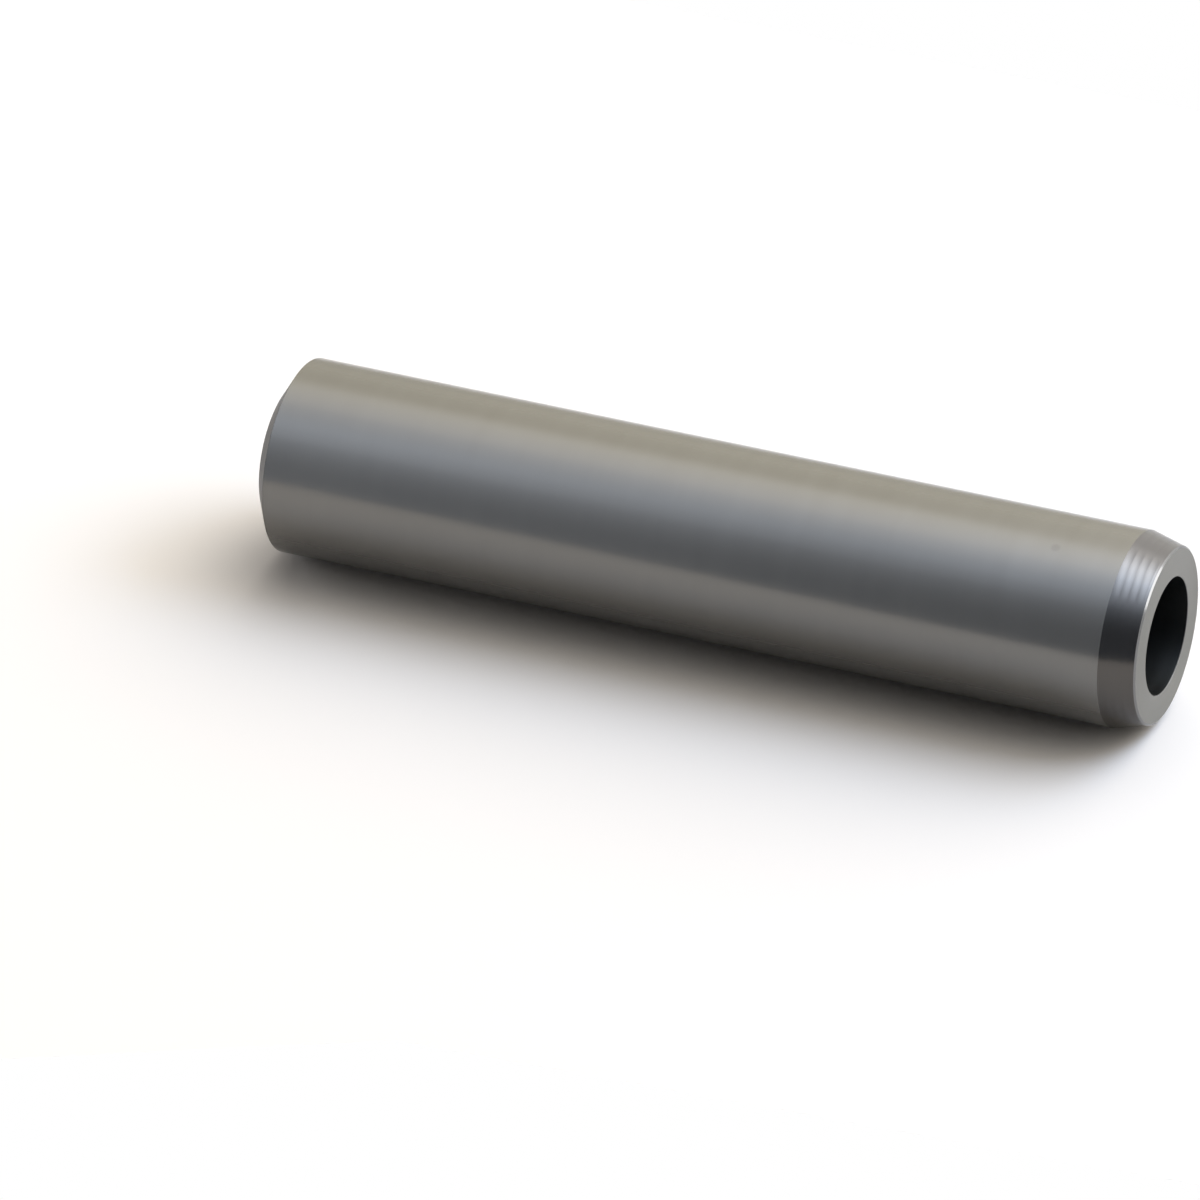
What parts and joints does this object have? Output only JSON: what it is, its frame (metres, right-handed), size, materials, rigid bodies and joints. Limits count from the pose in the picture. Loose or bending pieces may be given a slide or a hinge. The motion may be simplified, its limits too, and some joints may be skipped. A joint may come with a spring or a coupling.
{
  "type": "valve guide",
  "caption": "Plain cylindrical valve guide with a straight bore, a turned lead-in taper at one end and a flat chamfer at the other.",
  "frame": {"origin": "centre of the lead-in face, the lowest point of the guide as it stands", "axes": "+Z along the guide's axis, from the lead-in taper up to the chamfered top end; X and Y are free, because the guide is a body of revolution"},
  "size_m": [0.015, 0.015, 0.071],
  "materials": {
    "ground_iron": "centreless ground outside, fine turned ends"
  },
  "bodies": {
    "root": {"valve_guide": "ground_iron"}
  },
  "joints": []
}
